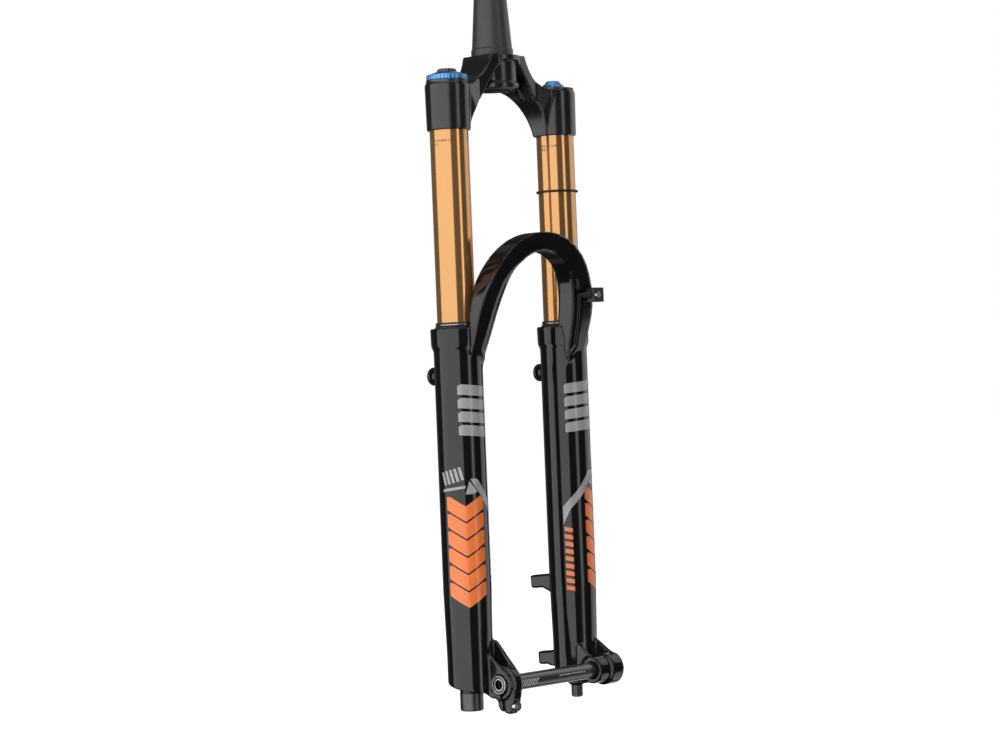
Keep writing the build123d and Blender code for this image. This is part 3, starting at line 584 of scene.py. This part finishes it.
def axle_marks():
    """Slanting hatch lines near the right-hand end of the axle and fine ticks near the left."""
    centre = middle("axle_sleeve_nut")
    outlines = []
    for number in range(AXLE_HATCH):
        start = HATCH_FROM + HATCH_STEP * number
        outlines.append([(-24, start), (18, start + 4.5), (18, start + 6.1), (-24, start + 1.6)])
        outlines.append([(-30, start), (-26, start), (-26, start + 2.4), (-30, start + 2.4)])
    for number in range(AXLE_TICKS):
        start = TICK_FROM + TICK_STEP * number
        outlines.append([(6, start), (14, start), (14, start + 1.2), (6, start + 1.2)])
    bm = bmesh.new()
    wrap(bm, outlines, lambda z: AXLE_R, (0, 0), -1)
    across = Matrix.Rotation(math.radians(-90), 4, "X")
    bmesh.ops.transform(bm, matrix=Matrix.Translation((centre.x, 0, centre.z)) @ across, verts=bm.verts)
    piece("axle_marks", bm, "axle", "print_pale")


def sleeve_rings():
    """Raised bright rings on the outer face of the axle sleeve."""
    low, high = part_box("axle_sleeve_nut")
    centre = ((low.x + high.x) / 2, low.y, (low.z + high.z) / 2)
    bm = bmesh.new()
    turned(bm, [(7.5, -0.4), (7.7, 0.25), (8.2, 0.25), (8.4, -0.4)], centre, (0, -1, 0))
    shade_smooth(piece("sleeve_rim", bm, "lowers", "steel"))
    bm = bmesh.new()
    turned(bm, [(4.7, -0.4), (4.8, 0.12), (5.5, 0.12), (5.6, -0.4)], centre, (0, -1, 0))
    shade_smooth(piece("sleeve_inner_ring", bm, "lowers", "steel"))


def stud_threads():
    """Rounded rings that stand for the thread on the stud under the left leg."""
    centre = middle("air_foot_nut")
    bm = bmesh.new()
    for number in range(THREADS):
        z = THREAD_TOP - THREAD_PITCH * number
        turned(bm, [(5.1, z - 0.4), (5.72, z), (5.1, z + 0.4)], (centre.x, centre.y, 0), (0, 0, 1), steps=64)
    shade_smooth(piece("stud_threads", bm, "lowers", "dark_steel"), 20)


def valve_cap():
    """The lobed, stepped cap over the air valve, with a dark ring round its foot."""
    low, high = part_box("air_valve_cap")
    foot = low.z / MM
    top = high.z / MM
    centre = (*axis_of("air_valve_cap"), 0)
    bm = bmesh.new()
    dome = [(0, foot + 0.9), (10.0, foot + 0.9), (10.4, foot + 1.5), (10.3, foot + 2.9), (9.0, foot + 4.3),
            (7.2, foot + 5.3), (6.4, top - 0.6), (5.6, top), (2.6, top), (2.2, top - 0.5), (0, top - 0.5)]
    turned(bm, dome, centre, (0, 0, 1), lobes=8, depth=0.025)
    made = piece("valve_cap_lobed", bm, "valve_cap", "blue_anodised")
    shade_smooth(made, 40)
    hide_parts("air_valve_cap")
    bm = bmesh.new()
    seal = [(7.5, foot + 0.1), (10.0, foot + 0.1), (10.3, foot + 0.5), (10.0, foot + 0.95), (7.5, foot + 0.95)]
    turned(bm, seal, centre, (0, 0, 1))
    shade_smooth(piece("valve_cap_ring", bm, "valve_cap", "rubber"))


axle_marks()
sleeve_rings()
stud_threads()
valve_cap()


# ---------------------------------------------------------------- floor, light and camera
FLOOR_HALF = 40.0
FLOOR_GAP = 4 * MM


def floor():
    """A pale floor just under the fork, left out of reflections and bounced light."""
    bm = bmesh.new()
    far = FLOOR_HALF
    z = cad_low.z - FLOOR_GAP
    corners = [bm.verts.new((x, y, z)) for x, y in ((-far, -far), (far, -far), (far, far), (-far, far))]
    bm.faces.new(corners)
    mesh = bpy.data.meshes.new("floor")
    bm.to_mesh(mesh)
    bm.free()
    made = bpy.data.objects.new("floor", mesh)
    bpy.context.scene.collection.objects.link(made)
    material = bpy.data.materials.new("floor_white")
    material.use_nodes = True
    tree = material.node_tree
    shader = tree.nodes["Principled BSDF"]
    shader.inputs["Base Color"].default_value = (0.5, 0.5, 0.5, 1)
    shader.inputs["Roughness"].default_value = 0.9
    shader.inputs["Specular IOR Level"].default_value = 0.0
    shader.inputs["Emission Color"].default_value = (1, 1, 1, 1)
    # whiter away from the fork, so that it runs into the backdrop without an edge
    place = tree.nodes.new("ShaderNodeTexCoord")
    distance = tree.nodes.new("ShaderNodeVectorMath")
    distance.operation = "LENGTH"
    glow = tree.nodes.new("ShaderNodeMapRange")
    glow.inputs["From Min"].default_value = 0.25
    glow.inputs["From Max"].default_value = 0.9
    glow.inputs["To Min"].default_value = 0.74
    glow.inputs["To Max"].default_value = 1.0
    tree.links.new(place.outputs["Object"], distance.inputs[0])
    tree.links.new(distance.outputs["Value"], glow.inputs["Value"])
    tree.links.new(glow.outputs["Result"], shader.inputs["Emission Strength"])
    made.data.materials.append(material)
    made.visible_glossy = False
    made.visible_diffuse = False


# The camera looks from the front right, level with the middle of the fork.
VIEW_TURN = math.radians(44.39)
VIEW_TILT = math.radians(-0.11)
VIEW_ROLL = math.radians(-2.31)
VIEW_DISTANCE = 2.45467
VIEW_TARGET = Vector((0.00141, -0.00841, -0.30094))
LENS_MM = 93.67
SENSOR_MM = 36.0


def view_axes():
    """(right, up, back) of the camera before its roll."""
    a, e = VIEW_TURN, VIEW_TILT
    right = Vector((math.cos(a), math.sin(a), 0))
    back = Vector((math.sin(a) * math.cos(e), -math.cos(a) * math.cos(e), math.sin(e)))
    return right, back.cross(right), back


def camera():
    right, up, back = view_axes()
    c, s = math.cos(VIEW_ROLL), math.sin(VIEW_ROLL)
    x_axis = c * right + s * up
    y_axis = -s * right + c * up
    data = bpy.data.cameras.new("camera")
    data.lens = LENS_MM
    data.sensor_width = SENSOR_MM
    data.dof.use_dof = False
    data.clip_start = 0.01
    data.clip_end = 200
    made = bpy.data.objects.new("camera", data)
    place = Matrix((x_axis, y_axis, back)).transposed().to_4x4()
    place.translation = VIEW_TARGET + VIEW_DISTANCE * back
    made.matrix_world = place
    bpy.context.scene.collection.objects.link(made)
    bpy.context.scene.camera = made


CARD_HEIGHT = 3.6
STREAK_TURN = 51


def card(name, turn, tilt, width, height, radiance, distance=1.6):
    """A soft light panel, turned so many degrees to the right of the main view and tilted upwards."""
    right, _, back = view_axes()
    t, e = math.radians(turn), math.radians(tilt)
    level = back * math.cos(t) + right * math.sin(t)
    level.z = 0
    level.normalize()
    direction = level * math.cos(e) + Vector((0, 0, math.sin(e)))
    data = bpy.data.lights.new(name, "AREA")
    data.shape = "RECTANGLE"
    data.size = width
    data.size_y = height
    data.energy = radiance * width * height * math.pi
    made = bpy.data.objects.new(name, data)
    made.location = Vector((0, 0, cad_low.z / 2)) + distance * direction
    made.rotation_mode = "QUATERNION"
    made.rotation_quaternion = (-direction).to_track_quat("-Z", "Y")
    made.visible_camera = False
    bpy.context.scene.collection.objects.link(made)


def studio():
    world = bpy.data.worlds.new("studio")
    bpy.context.scene.world = world
    world.use_nodes = True
    tree = world.node_tree
    backdrop = tree.nodes["Background"]
    backdrop.inputs["Color"].default_value = (1, 1, 1, 1)
    room = tree.nodes.new("ShaderNodeBackground")
    room.inputs["Color"].default_value = (0.04, 0.04, 0.042, 1)
    path = tree.nodes.new("ShaderNodeLightPath")
    mix = tree.nodes.new("ShaderNodeMixShader")
    tree.links.new(path.outputs["Is Camera Ray"], mix.inputs["Fac"])
    tree.links.new(room.outputs["Background"], mix.inputs[1])
    tree.links.new(backdrop.outputs["Background"], mix.inputs[2])
    tree.links.new(mix.outputs["Shader"], tree.nodes["World Output"].inputs["Surface"])
    bpy.context.scene.view_settings.view_transform = "Standard"
    card("key_left", -44, 0, 3.9, CARD_HEIGHT, 1.75)
    # three cards at one turn, so that the streak fades towards both sides
    card("streak_core", STREAK_TURN, 0, 0.20, CARD_HEIGHT, 1.25, distance=1.55)
    card("streak_middle", STREAK_TURN, 0, 0.36, CARD_HEIGHT, 0.75)
    card("streak_edge", STREAK_TURN, 0, 0.66, CARD_HEIGHT, 0.35, distance=1.65)
    card("side_right", 121, 0, 1.3, CARD_HEIGHT, 1.05)
    card("back_left", -150, 0, 0.5, CARD_HEIGHT, 0.12)
    card("back_right", 165, 0, 0.7, CARD_HEIGHT, 0.8)
    card("overhead", 0, 90, 2.0, 2.0, 1.0, distance=2.2)


floor()
camera()
studio()
